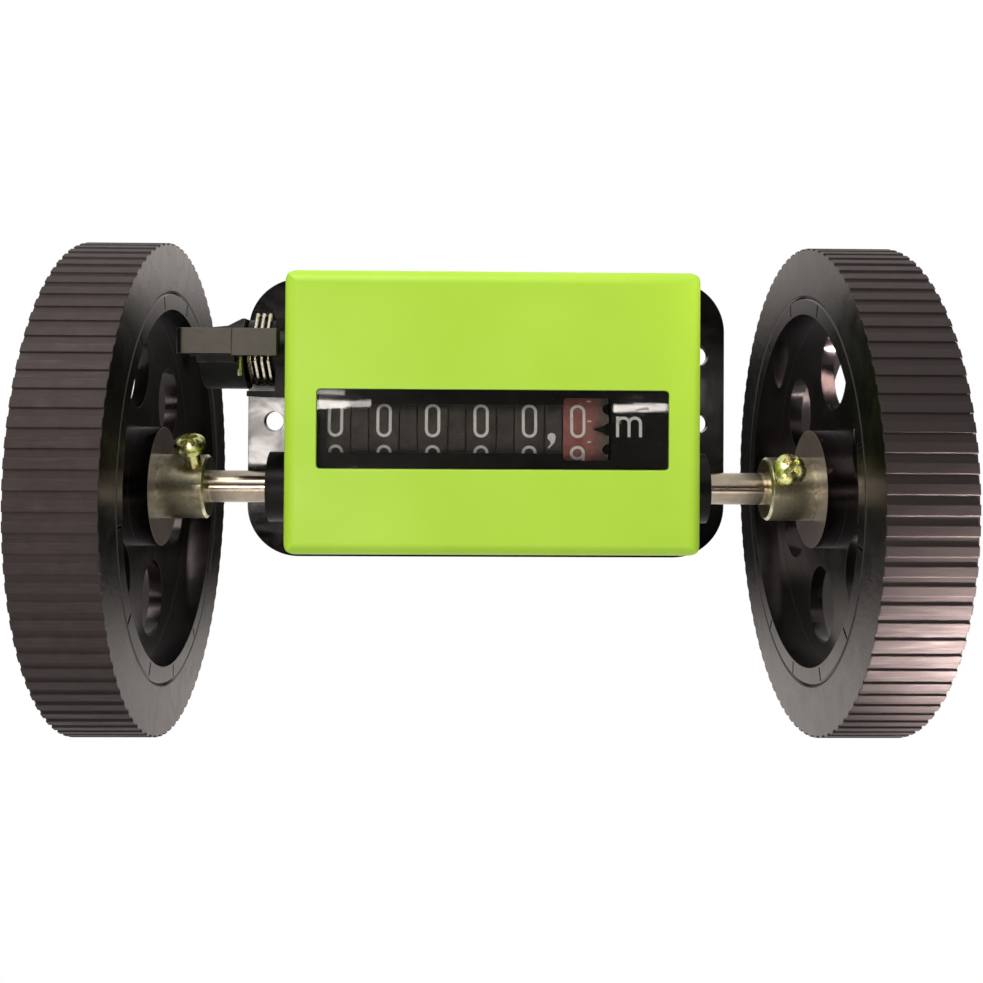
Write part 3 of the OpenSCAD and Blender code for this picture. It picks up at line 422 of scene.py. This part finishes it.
def black_plate():
    """Gloss black sheet steel: cloudy lacquer, small pits, bare grey where edges are worn."""
    f = Finish("black_plate", specular=0.27)
    cloud = f.noise(9, 4, 0.6, distort=0.8)
    worn = f.times(f.edges(0.35), f.span(f.noise(2.5, 4), 0.5, 0.62))
    base = f.mix(f.span(cloud, 0.35, 0.7), DEEP_BLACK, (0.0065, 0.0058, 0.0054))
    f.colour(f.mix(worn, base, (0.2, 0.19, 0.18)))
    f.roughness(f.span(cloud, 0.3, 0.7, 0.06, 0.22))
    f.relief((f.noise(9, 2, 0.4), 0.07), (f.noise(0.35, 2), 0.002), round_edges=0.25)
    return f.material


def plastic_ground(f):
    """The cloudy black of the moulded plastic pieces."""
    return f.mix(f.span(f.noise(14, 3), 0.35, 0.65), DEEP_BLACK, (0.006, 0.0055, 0.005))


def black_plastic():
    """Moulded black plastic with a fine grain and rubbed edges."""
    f = Finish("black_plastic", specular=0.15)
    rubbed = f.times(f.edges(0.3), f.span(f.noise(3, 4), 0.42, 0.62))
    f.colour(f.mix(rubbed, plastic_ground(f), (0.05, 0.046, 0.043)))
    f.roughness(f.span(f.noise(6, 4, 0.65), 0.3, 0.7, 0.3, 0.5))
    f.relief((f.noise(0.45, 2), 0.006), (f.cells(0.16), 0.003), round_edges=0.25)
    return f.material


def lever_plastic():
    """The lever's black plastic, with a mottled grey-brown painted highlight on the face that the
    thumb meets, and painted highlights on its edges.
    """
    f = Finish("lever_plastic", specular=0.18)
    face = f.span(f.across(f.facing, "Y"), -0.9, -0.97)
    pad_low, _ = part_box("reset_lever")
    near = f.zone(f.across(f.place, "Y"), *(pad_low.y / MM + behind for behind in PAD_FADE))
    mottle = f.noise(2.2, 5, 0.65)
    # painted highlight: mottled grey-brown on the pad's front face, which faces -Y
    matt = f.mix(f.span(mottle, 0.35, 0.7), (0.096, 0.082, 0.069), (0.128, 0.108, 0.091))
    base = f.mix(f.times(face, near), plastic_ground(f), matt)
    # painted highlight along the lever's edges, patchy
    rubbed = f.times(f.edges(0.3), f.span(f.noise(3, 4), 0.35, 0.6, 0.3, 1.0))
    f.colour(f.mix(rubbed, base, (0.2, 0.185, 0.17)))
    f.roughness(f.span(mottle, 0.3, 0.7, 0.34, 0.55))
    f.relief((f.noise(0.45, 2), 0.008), (f.cells(0.16), 0.004), round_edges=0.25)
    return f.material


NUMBER_BROWNS = (0.048, 0.041, 0.035), (0.082, 0.07, 0.06)


def dial_mask():
    """The dial's black sheet; its fingers, behind the sheet, have the number wheels' brown."""
    f = Finish("dial_mask", specular=0.12)
    mask_low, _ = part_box("dial_mask")
    finger = f.zone(f.across(f.place, "Y"), *(mask_low.y / MM + behind for behind in MASK_BACK))
    dust = f.noise(2.4, 5, 0.7)
    sheet = f.mix(f.span(dust, 0.35, 0.7), (0.004, 0.0033, 0.002), (0.009, 0.0078, 0.0055))
    brown = f.mix(f.span(dust, 0.35, 0.7), *NUMBER_BROWNS)
    f.colour(f.mix(finger, sheet, brown))
    f.roughness(f.span(dust, 0.3, 0.7, 0.34, 0.5))
    f.relief((f.noise(0.25, 2), 0.005), round_edges=0.1)
    return f.material


def lime_cover():
    """Lime green moulded cover: faint orange peel, pale edges of rubbed wear and painted
    highlight, and light scuffs.
    """
    f = Finish("lime_cover", specular=0.35)
    drift = f.span(f.noise(34, 3, 0.5), 0.35, 0.65)
    base = f.mix(drift, (0.473, 0.778, 0.039), (0.516, 0.82, 0.054))
    speck = f.span(f.noise(0.5, 2), 0.66, 0.78)
    base = f.mix(f.times(speck, 0.25), base, (0.39, 0.66, 0.025))
    scuff = f.span(f.noise(1.6, 5, 0.7, stretch=(6, 1, 1), distort=1.5), 0.68, 0.76)
    base = f.mix(f.times(scuff, 0.2), base, (0.6, 0.86, 0.13))
    # pale edges: rubbed wear and a painted edge highlight
    rubbed = f.times(f.edges(0.5), f.span(f.noise(4, 4), 0.4, 0.65, 0.25, 0.75))
    f.colour(f.mix(rubbed, base, (0.62, 0.88, 0.18)))
    f.roughness(f.span(f.noise(11, 4, 0.6), 0.3, 0.7, 0.3, 0.46))
    wave, peel, grain = f.noise(22, 2, 0.4), f.noise(0.9, 2), f.noise(0.2, 1)
    f.relief((wave, 0.16), (peel, 0.006), (grain, 0.0012), round_edges=0.3)
    return f.material


def clear_lens():
    """Clear plastic with hairline scratches and a little dust."""
    f = Finish("clear_lens")
    f.colour(WHITE)
    f.shader.inputs["Transmission Weight"].default_value = 1.0
    f.shader.inputs["IOR"].default_value = 1.45
    dust = f.span(f.noise(1.1, 5, 0.75), 0.62, 0.75)
    scratch = f.span(f.noise(0.5, 3, 0.6, stretch=(14, 1, 5), distort=2.0), 0.66, 0.72)
    f.roughness(f.span(f.calc("MAXIMUM", dust, scratch), 0, 1, 0.02, 0.2))
    f.relief((f.noise(16, 2, 0.4), 0.03), (f.noise(3, 3, 0.5), 0.0015), (scratch, 0.002))
    return f.material


def turned_metal(name, colour, dark, roughness, ring=0.35, depth=0.003, stain_size=4.5):
    """Metal turned in a lathe: fine rings round X, and stains that are darker and rougher."""
    f = Finish(name, metallic=1.0)
    rings = f.noise(ring, 3, 0.6, stretch=(1, 400, 400))
    stain = f.noise(stain_size, 5, 0.65, distort=0.6)
    base = f.mix(f.span(stain, 0.35, 0.7), dark, colour)
    f.colour(f.mix(f.times(f.span(rings, 0.45, 0.7), 0.3), base, dark))
    smooth, rough = roughness
    f.roughness(f.span(stain, 0.3, 0.7, rough, smooth))
    f.relief((rings, depth), (f.noise(0.3, 2), depth * 0.6), round_edges=0.2)
    return f.material


def polished_steel():
    return turned_metal("polished_steel", (0.41, 0.345, 0.265), (0.33, 0.275, 0.205), (0.16, 0.24))


def plain_steel():
    return turned_metal("plain_steel", (0.56, 0.55, 0.53), (0.32, 0.31, 0.3), (0.26, 0.42))


def plated_collar():
    """Dull olive plating on turned steel, a little patchy."""
    return turned_metal(
        "plated_collar", (0.82, 0.74, 0.52), (0.3, 0.27, 0.17), (0.26, 0.42),
        ring=0.5, depth=0.004, stain_size=2.6,
    )


def bronze():
    """Sintered bronze: open pores, oily sheen."""
    f = Finish("bronze", metallic=1.0)
    pores = f.cells(0.28)
    base = f.mix(f.span(f.noise(5, 4), 0.35, 0.65), (0.42, 0.25, 0.11), (0.64, 0.42, 0.2))
    f.colour(f.mix(f.span(pores, 0.0, 0.18, 0.7, 0.0), base, (0.1, 0.06, 0.03)))
    f.roughness(f.span(f.noise(2, 4), 0.3, 0.7, 0.32, 0.5))
    f.relief((pores, 0.012), round_edges=0.2)
    return f.material


def yellow_zinc():
    """Yellow-passivated zinc with its green and pink bloom."""
    f = Finish("yellow_zinc", metallic=1.0)
    bloom = f.noise(1.7, 4, 0.6, distort=1.2)
    base = f.mix(f.span(bloom, 0.36, 0.52), (0.42, 0.5, 0.12), (0.72, 0.66, 0.3))
    f.colour(f.mix(f.span(bloom, 0.55, 0.66), base, (0.7, 0.52, 0.4)))
    f.roughness(f.span(f.noise(0.8, 4), 0.3, 0.7, 0.18, 0.36))
    f.relief((f.noise(0.4, 3), 0.012), round_edges=0.25)
    return f.material


SIDE_BLACK = (0.0035, 0.003, 0.0027)
SIDE_GREY = (0.0085, 0.0075, 0.0068)
SIDE_SPECULAR = 0.42
SIDE_TINT = (1.0, 0.84, 0.8)


def side_gloss(f):
    """Colour, roughness and height of the glossy black on the wheels' sides."""
    flow = f.noise(9, 5, 0.6, distort=1.6)
    base = f.mix(f.span(flow, 0.35, 0.68), SIDE_BLACK, SIDE_GREY)
    haze = f.span(f.noise(3.0, 5, 0.7), 0.52, 0.75, 0.0, 0.2)
    base = f.mix(haze, base, (0.032, 0.029, 0.027))
    return base, f.span(flow, 0.3, 0.7, 0.16, 0.27), f.noise(14, 2)


def wheel_plastic():
    """The wheel's moulded core: glossy black-brown, with painted shade in the recess, matt on the
    hub's face.
    """
    f = Finish("wheel_plastic", specular=SIDE_SPECULAR, tint=SIDE_TINT)
    base, rough, wave = side_gloss(f)
    radius = f.from_axis()
    # painted shade: inside the recess the colour is turned near black
    recess = f.zone(radius, RECESS_R + 0.15, RECESS_R + 0.05, 0.0, 0.85)
    base = f.mix(recess, base, (0.0008, 0.0006, 0.0005))
    aside = f.calc("ABSOLUTE", f.across(f.place, "X"))
    hub = f.times(
        f.zone(aside, HUB_FACE + 0.1, HUB_FACE + 0.05), f.zone(radius, HUB_R + 0.1, HUB_R)
    )
    matt = f.mix(f.noise(5, 3), (0.15, 0.115, 0.11), (0.18, 0.142, 0.136))
    f.colour(f.mix(hub, base, matt))
    f.roughness(rough)
    f.relief((wave, 0.05), (f.noise(0.5, 2), 0.002), round_edges=0.15)
    return f.material


def tread_rubber():
    """Hard tyre: dusty brown ribs with scuffs along them, and sides as glossy as the core.

    Both treads have painted shade in their grooves, the right one more, the right tread has
    painted shade across its middle, and the left tread has painted shade towards its foot.
    """
    f = Finish("tread_rubber", specular=SIDE_SPECULAR, tint=SIDE_TINT)
    height = f.across(f.place, "Z")
    right = f.zone(f.across(f.place, "X"), -1, 1)
    left = f.calc("SUBTRACT", 1.0, right)
    dust = f.noise(3.2, 5, 0.65)
    tread = f.mix(f.span(dust, 0.32, 0.7), (0.017, 0.0115, 0.011), (0.033, 0.0225, 0.0215))
    streak = f.noise(0.9, 4, 0.6, stretch=(9, 1, 1))
    tread = f.mix(f.times(f.span(streak, 0.5, 0.7), 0.55), tread, (0.066, 0.049, 0.047))
    rubbed = f.times(f.edges(0.2, 0.01, 0.2), f.span(dust, 0.35, 0.6, 0.1, 0.5))
    tread = f.mix(rubbed, tread, (0.07, 0.058, 0.057))
    # painted shade in the grooves, stronger on the right tread
    groove_shade_level = f.calc("ADD", f.times(right, 0.5), 0.2)
    groove_shade = f.zone(f.from_axis(), GROOVE_R - 0.05, GROOVE_R + 0.05, groove_shade_level, 0.0)
    tread = f.mix(groove_shade, tread, (0.005, 0.0035, 0.0035))
    # painted shade across the middle heights of the right tread
    middle = f.times(f.zone(height, *MID_SHADE_FROM), f.zone(height, *MID_SHADE_TO))
    mid_shade = f.times(f.times(middle, right), 0.75)
    tread = f.mix(mid_shade, tread, (0.004, 0.0028, 0.0026))
    # painted shade on the left tread towards its foot
    shaded = f.times(f.zone(height, *SHADED_FROM, 0.0, 0.5), left)
    tread = f.mix(shaded, tread, (0.009, 0.0062, 0.0058))
    side = f.span(f.calc("ABSOLUTE", f.across(f.facing, "X")), 0.5, 0.6)
    base, rough, wave = side_gloss(f)
    f.colour(f.mix(side, tread, base))
    f.roughness(f.mix(side, f.span(streak, 0.3, 0.7, 0.5, 0.7), rough))
    f.relief((wave, 0.05), (streak, 0.035), (f.noise(0.3, 3), 0.008), round_edges=0.35)
    return f.material


def gear_plastic():
    """Natural acetal: milky, slightly greasy."""
    f = Finish("gear_plastic")
    f.shader.inputs["Subsurface Weight"].default_value = 0.15
    f.shader.inputs["Subsurface Scale"].default_value = 0.6 * MM
    f.colour(f.mix(f.span(f.noise(5, 4), 0.35, 0.7), (0.7, 0.66, 0.56), (0.8, 0.78, 0.7)))
    f.roughness(f.span(f.noise(2.5, 4), 0.3, 0.7, 0.28, 0.45))
    f.relief((f.noise(0.35, 2), 0.005), round_edges=0.12)
    return f.material


def number_black():
    """Brown-black number wheel, clouded with dust."""
    f = Finish("number_black", specular=0.12)
    dust = f.noise(2.4, 5, 0.7)
    f.colour(f.mix(f.span(dust, 0.35, 0.7), *NUMBER_BROWNS))
    f.roughness(f.span(dust, 0.3, 0.7, 0.42, 0.6))
    f.relief((f.noise(0.25, 2), 0.006), round_edges=0.15)
    return f.material


def number_red():
    """Dark red tenths wheel, grey-olive at its notched edge, with painted highlights on the edges
    there and painted shade inside the notches.
    """
    f = Finish("number_red", specular=0.15)
    left, radius = number_wheel("tenths")
    fade = f.zone(f.across(f.place, "X"), *(left + NOTCHED_EDGE + aside for aside in NOTCH_FADE))
    dust = f.noise(2.2, 5, 0.7)
    red = f.mix(f.span(dust, 0.35, 0.7), (0.23, 0.072, 0.06), (0.32, 0.14, 0.122))
    grey = f.mix(f.span(dust, 0.35, 0.7), (0.1, 0.092, 0.07), (0.16, 0.148, 0.118))
    base = f.mix(fade, red, grey)
    # painted highlight on the edges at the notched edge
    rubbed = f.times(f.edges(0.35, 0.01, 0.15), fade)
    base = f.mix(rubbed, base, (0.5, 0.46, 0.36))
    # painted shade: near black inside the notches
    notch_shade = f.zone(f.from_axis(*number_axis()), radius - 0.5, radius - 0.25, 0.93, 0.0)
    f.colour(f.mix(notch_shade, base, (0.006, 0.005, 0.0045)))
    f.roughness(f.span(dust, 0.3, 0.7, 0.42, 0.6))
    f.relief((f.noise(0.25, 2), 0.006), round_edges=0.15)
    return f.material


def spring_steel():
    """Bright wire with a fine grain and brown spots."""
    f = Finish("spring_steel", metallic=1.0)
    spots = f.span(f.noise(0.9, 4, 0.65), 0.52, 0.68)
    f.colour(f.mix(spots, (0.72, 0.66, 0.53), (0.34, 0.26, 0.17)))
    f.roughness(f.span(spots, 0, 1, 0.2, 0.42))
    f.relief((f.noise(0.2, 3), 0.008))
    return f.material


def print_white():
    """Off-white print on the number wheels, thin at places."""
    f = Finish("print_white", specular=0.3)
    thin = f.noise(0.6, 4, 0.6)
    f.colour(f.mix(f.span(thin, 0.56, 0.72), (0.7, 0.67, 0.63), (0.48, 0.45, 0.42)))
    f.roughness(0.5)
    f.relief((f.noise(0.15, 2), 0.003))
    return f.material


FINISHES = {
    # material slot: its finish
    make.__name__: make
    for make in (
        black_plate, black_plastic, lime_cover, clear_lens, bronze, polished_steel, plain_steel,
        plated_collar, yellow_zinc, wheel_plastic, tread_rubber, gear_plastic, number_black,
        number_red, spring_steel,
    )
}
OWN_FINISHES = {"dial_mask": dial_mask, "reset_lever": lever_plastic}


def finish_nodes():
    """One material to a slot, and a node's own where it has one."""
    made = {}
    for part in frame["record"]["subparts"]:
        name, slot = part["node"], part["material_slot"]
        if name in OWN_FINISHES:
            material = OWN_FINISHES[name]()
        else:
            material = made.get(slot) or FINISHES[slot]()
            made[slot] = material
        node = frame["nodes"][name]
        node.data.materials.clear()
        node.data.materials.append(material)


# ---- return spring ----


def wind_spring():
    """A copy of the spring's wire as its own object, in place of the model's, which is hidden."""
    node = frame["nodes"]["return_spring"]
    mesh = node.data.copy()
    mesh.name = "wound_spring"
    mesh.transform(node.matrix_world)
    wire = linked("wound_spring", mesh)
    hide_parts("return_spring")
    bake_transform(wire)


# ---- printed marks ----

PLACES = ("ten_thousands", "thousands", "hundreds", "tens", "units", "tenths")
DIGIT_W, DIGIT_H, STROKE = 2.9, 6.4, 0.55
PAINT = 0.03                            # thickness of the print
STEP = 0.35                             # most distance between the points of a stroke
BAND_LEFT, BAND_W = 2.0, 5.6            # the digits' band, from a number wheel's left end
SHOWN_TURN = 173.0                      # the shown digit's angle round the shaft, from +Y
TICKS = 20                              # marks round the tenths wheel
TICK_L, TICK_W = 0.7, 0.24
TICK_X = 5.0                            # from the band's left edge
COMMA_X, COMMA_Z, COMMA_HEAD, COMMA_DROP = 11.24, 12.1, 0.78, 2.1
UNIT_X, UNIT_Z, UNIT_W, UNIT_H = 25.8, 14.15, 4.9, 3.9
UNIT_BOW = 0.95                         # height of the unit's bows, as a share of their half width


def arc(centre, radii, start, end, steps=14):
    """Points of an elliptic arc, angles in degrees, anticlockwise when end is above start."""
    points = []
    for k in range(steps + 1):
        a = math.radians(start + (end - start) * k / steps)
        points.append((centre[0] + radii[0] * math.cos(a), centre[1] + radii[1] * math.sin(a)))
    return points


def digit_strokes(digit):
    """The strokes of a digit as (points, closed), in shares of its half width and half height."""
    w, h = (DIGIT_W - STROKE) / 2, (DIGIT_H - STROKE) / 2
    if digit == 0:
        return [(arc((0, h - w), (w, w), 0, 180) + arc((0, w - h), (w, w), 180, 360), True)]
    if digit == 1:
        return [([(-w * 0.7, h * 0.62), (w * 0.2, h), (w * 0.2, -h)], False)]
    if digit == 2:
        return [(arc((0, h - w), (w, w), 175, -25) + [(-w, -h), (w, -h)], False)]
    if digit == 3:
        upper = arc((0, h * 0.52), (w * 0.92, h * 0.48), 160, -90)
        return [(upper + arc((0, -h * 0.48), (w, h * 0.52), 90, -160), False)]
    if digit == 4:
        hook = [(w * 0.3, h), (-w, -h * 0.4), (w, -h * 0.4)]
        return [(hook, False), ([(w * 0.45, h * 0.1), (w * 0.45, -h)], False)]
    if digit == 5:
        bend = arc((0, -h * 0.4), (w, h * 0.6), 120, -150)
        return [([(w * 0.9, h), (-w * 0.8, h), (-w * 0.9, h * 0.05)] + bend, False)]
    if digit in (6, 9):
        turn = 1 if digit == 6 else -1
        ring = arc((0, w - h), (w, w), 180, -180)[:-1]
        tail = arc((0, h - w), (w, w), 30, 180) + [(-w, w - h)]
        ring, tail = ([(turn * x, turn * y) for x, y in line] for line in (ring, tail))
        return [(ring, True), (tail, False)]
    if digit == 7:
        return [([(-w, h), (w, h), (-w * 0.35, -h)], False)]
    top = arc((0, h * 0.53), (w * 0.9, h * 0.47), 0, 360)[:-1]
    return [(top, True), (arc((0, -h * 0.47), (w, h * 0.53), 0, 360)[:-1], True)]


def resampled(points, closed):
    """The same line with points STEP apart or closer, so that it bends with the wheel."""
    line = []
    ends = points[1:] + points[:1] if closed else points[1:]
    for (x, y), (end_x, end_y) in zip(points, ends):
        parts = max(1, math.ceil(math.dist((x, y), (end_x, end_y)) / STEP))
        line += [(x + (end_x - x) * k / parts, y + (end_y - y) * k / parts) for k in range(parts)]
    return line if closed else line + [points[-1]]


class Print:
    """A printed mark: slabs PAINT thick, which placed puts from (right, up, out) onto the part."""

    def __init__(self, name, placed=None):
        self.name, self.placed = name, placed
        self.points, self.faces = [], []

    def slab(self, pairs, closed):
        """A band between pairs of (left point, right point)."""
        first = len(self.points)
        for pair in pairs:
            for right, up in pair:
                self.points.append(self.placed(right, up, 0))
                self.points.append(self.placed(right, up, PAINT))
        count = len(pairs)
        for k in range(count if closed else count - 1):
            a, b = first + 4 * k, first + 4 * ((k + 1) % count)
            self.faces += [
                (a + 1, a + 3, b + 3, b + 1),
                (a + 2, a, b, b + 2),
                (a, a + 1, b + 1, b),
                (a + 3, a + 2, b + 2, b + 3),
            ]
        if not closed:
            last = first + 4 * (count - 1)
            self.faces.append((first, first + 2, first + 3, first + 1))
            self.faces.append((last, last + 1, last + 3, last + 2))

    def stroke(self, points, closed=False, width=STROKE):
        """A line of one width along points."""
        line = resampled(points, closed)
        pairs = []
        for k, point in enumerate(line):
            before = line[k - 1] if closed or k else point
            after = line[(k + 1) % len(line)] if closed or k < len(line) - 1 else point
            along = Vector((after[0] - before[0], after[1] - before[1])).normalized()
            side = Vector((-along.y, along.x)) * width / 2
            pairs.append((tuple(Vector(point) - side), tuple(Vector(point) + side)))
        self.slab(pairs, closed)

    def finish(self, body, material):
        mesh = bpy.data.meshes.new(self.name)
        mesh.from_pydata([Vector(point) * MM for point in self.points], [], self.faces)
        mesh.materials.append(material)
        piece = linked(self.name, mesh)
        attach(piece, body)


def on_drum(x, radius, turn):
    """Places marks round the number shaft, their middle at turn degrees from +Y towards +Z."""
    axis_y, axis_z = number_axis()

    def placed(right, up, out):
        angle = math.radians(turn) - up / radius
        reach = radius + out
        return x + right, axis_y + reach * math.cos(angle), axis_z + reach * math.sin(angle)

    return placed


def print_digits(paint):
    """Ten digits round each number wheel."""
    for place in PLACES:
        left, radius = number_wheel(place)
        middle = left + BAND_LEFT + BAND_W / 2
        mark = Print(f"{place}_digits")
        for digit in range(10):
            mark.placed = on_drum(middle, radius, SHOWN_TURN - 360 / 10 * digit)
            for points, closed in digit_strokes(digit):
                mark.stroke(points, closed)
        mark.finish(f"{place}_wheel", paint)


def print_ticks(paint):
    """Short marks beside the tenths digits, two to a tenth."""
    left, radius = number_wheel("tenths")
    mark = Print("tenths_ticks")
    for k in range(TICKS):
        mark.placed = on_drum(left + BAND_LEFT + TICK_X, radius, SHOWN_TURN - 360 / TICKS * k)
        mark.stroke([(-TICK_L / 2, 0), (TICK_L / 2, 0)], width=TICK_W)
    mark.finish("tenths_wheel", paint)


def print_comma(paint):
    """The decimal comma on the mask's finger: a round head with a tail to the lower left."""
    turn = 180 - math.degrees(math.asin((COMMA_Z - number_axis()[1]) / FINGER_R))
    comma = Print("decimal_comma", on_drum(COMMA_X, FINGER_R, turn))
    head, drop = COMMA_HEAD, COMMA_DROP
    left = arc((0, 0), (head, head), 90, 250, steps=10)
    left += [(-head * 0.2, -drop * 0.62), (-head * 0.9, -drop)]
    right = arc((0, 0), (head, head), 90, -20, steps=10)
    right += [(head * 0.75, -drop * 0.5), (-head * 0.7, -drop * 1.08)]
    comma.slab(list(zip(left, right)), closed=False)
    comma.finish("counter", paint)


def print_unit(paint):
    """The unit on the mask's face: an upright and two bows, each with its leg."""
    mask_low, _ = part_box("dial_mask")
    face_y = mask_low.y / MM
    unit = Print("unit_mark", lambda right, up, out: (UNIT_X + right, face_y - out, UNIT_Z + up))
    half, top, foot = (UNIT_W - STROKE) / 2, (UNIT_H - STROKE) / 2, -UNIT_H / 2
    bow, rise = half / 2, half / 2 * UNIT_BOW
    unit.stroke([(-half, foot), (-half, UNIT_H / 2)])
    for middle in (-bow, bow):
        arch = arc((middle, top - rise), (bow, rise), 165, 0, steps=10)
        unit.stroke(arch + [(middle + bow, foot)])
    unit.finish("counter", paint)


make_camera()
make_world()
make_lights()
make_floor()
make_front_cards()
make_back_card()
finish_nodes()
wind_spring()
paint = print_white()
print_digits(paint)
print_ticks(paint)
print_comma(paint)
print_unit(paint)

bpy.context.scene.view_settings.view_transform = "Standard"
